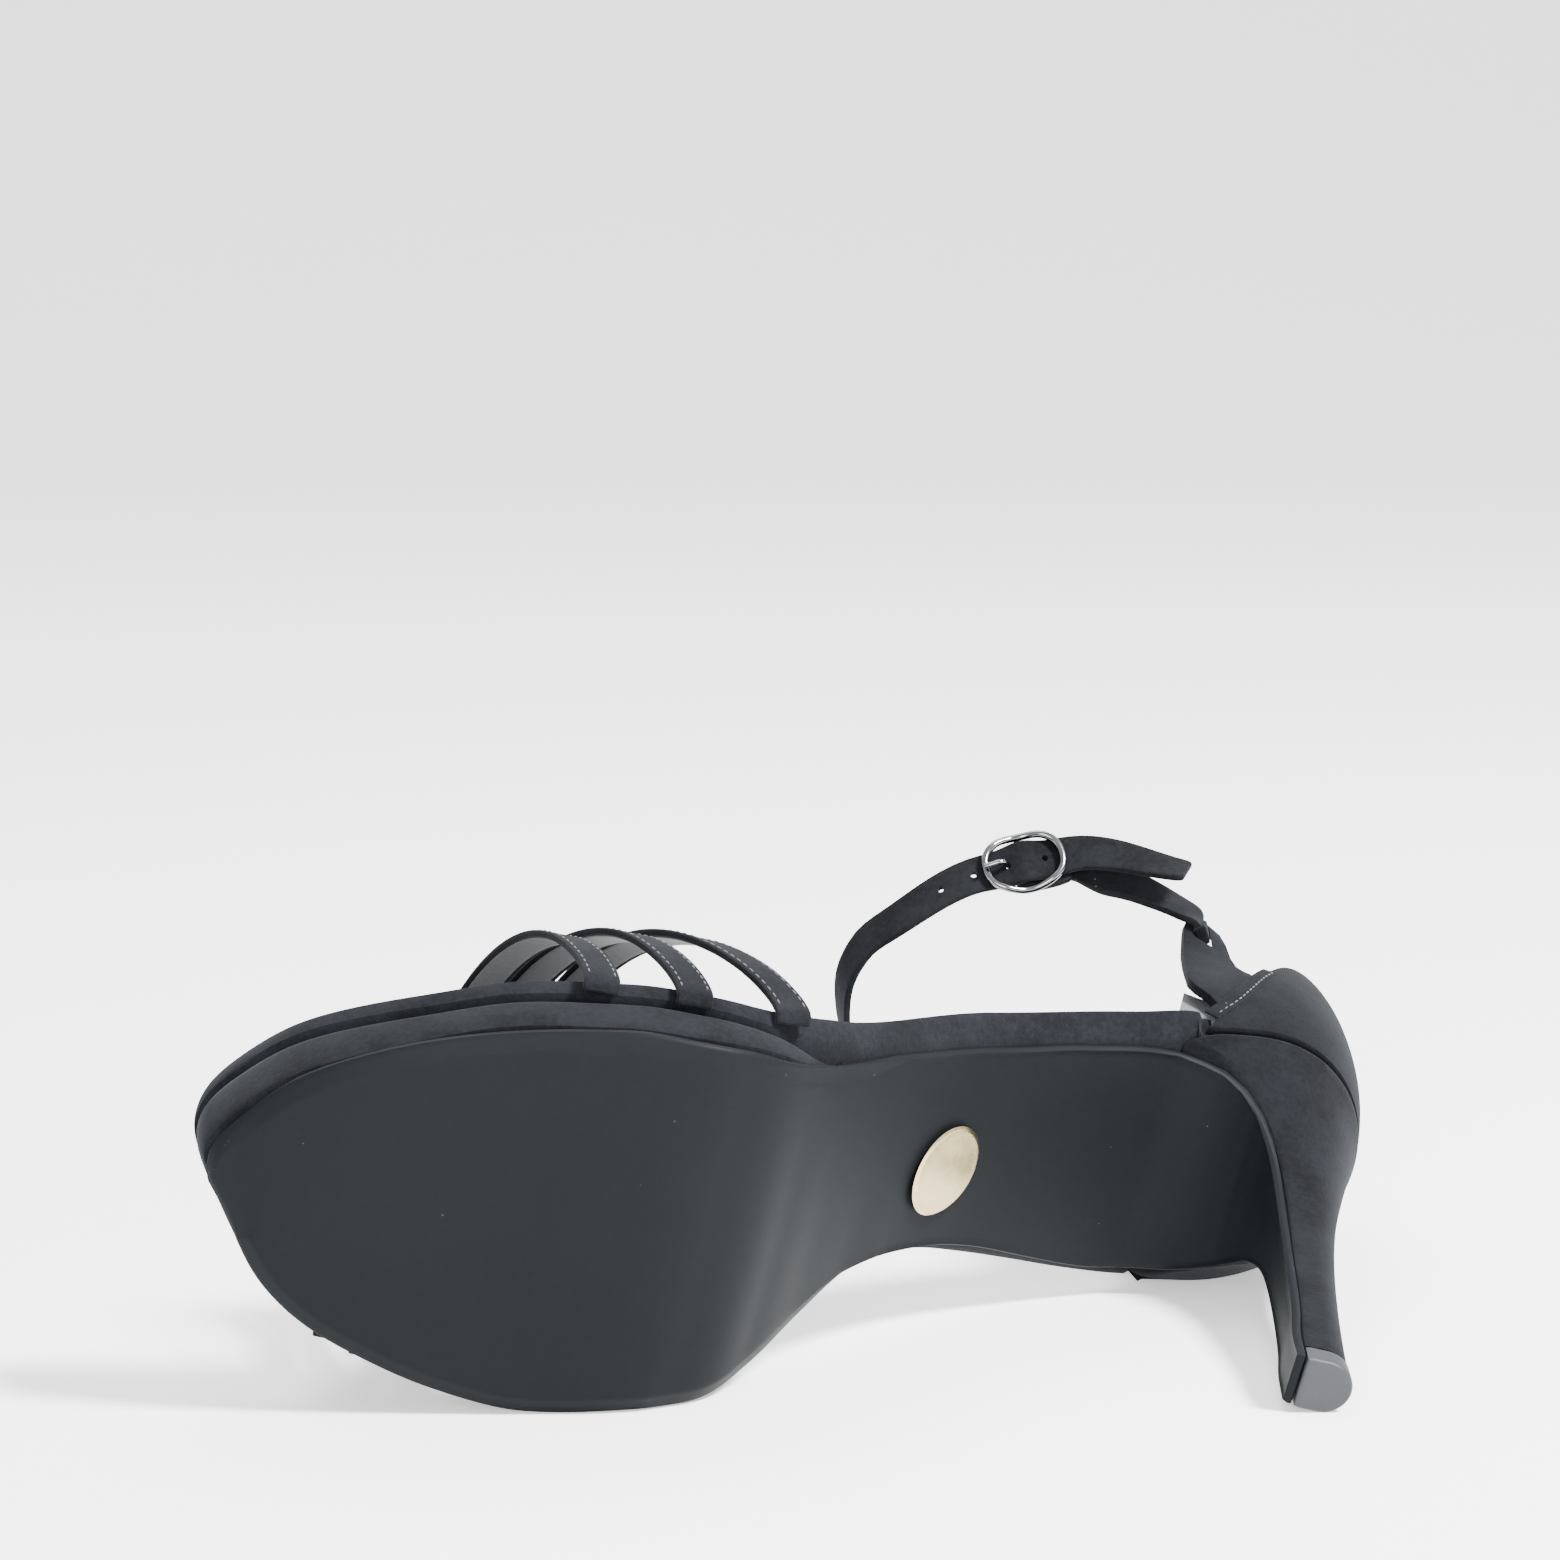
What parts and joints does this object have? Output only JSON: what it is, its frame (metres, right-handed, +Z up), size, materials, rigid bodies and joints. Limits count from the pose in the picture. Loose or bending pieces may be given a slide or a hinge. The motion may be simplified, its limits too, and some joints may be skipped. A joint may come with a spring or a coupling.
{
  "type": "heeled sandal",
  "caption": "Black suede platform sandal with a slim high heel, bands over the toes, a closed heel cup and a buckled ankle strap, lying on its inner side.",
  "frame": {"origin": "centre of the bounding box's bottom face, on the floor that the shoe lies on", "axes": "+X from toe to heel along the floor, +Y from sole to upper, +Z up; the medial side is down"},
  "size_m": [0.2228, 0.1608, 0.0836],
  "materials": {
    "outsole": "smooth satin black, bevelled edge",
    "platform": "black suede cover",
    "insole_board": "black suede cover",
    "insole_sock": "dark grey lining",
    "heel": "black suede cover",
    "top_piece": "matt black",
    "heel_cup": "black suede, grey lining",
    "guide_lateral": "black suede",
    "guide_medial": "black suede",
    "toe_strap_front": "black suede",
    "toe_strap_middle": "black suede",
    "toe_strap_rear": "black suede",
    "ankle_strap": "black suede",
    "buckle_strap": "black suede",
    "buckle_frame": "polished dark silver",
    "buckle_prong": "polished dark silver",
    "badge": "pale gold, plain"
  },
  "bodies": {
    "root": {"outsole": "outsole", "platform": "platform", "insole_board": "insole_board", "insole_sock": "insole_sock", "heel": "heel", "top_piece": "top_piece", "heel_cup": "heel_cup", "guide_lateral": "guide_lateral", "guide_medial": "guide_medial", "toe_strap_front": "toe_strap_front", "toe_strap_middle": "toe_strap_middle", "toe_strap_rear": "toe_strap_rear", "ankle_strap": "ankle_strap", "buckle_strap": "buckle_strap", "buckle_frame": "buckle_frame", "buckle_prong": "buckle_prong", "badge": "badge"}
  },
  "joints": []
}
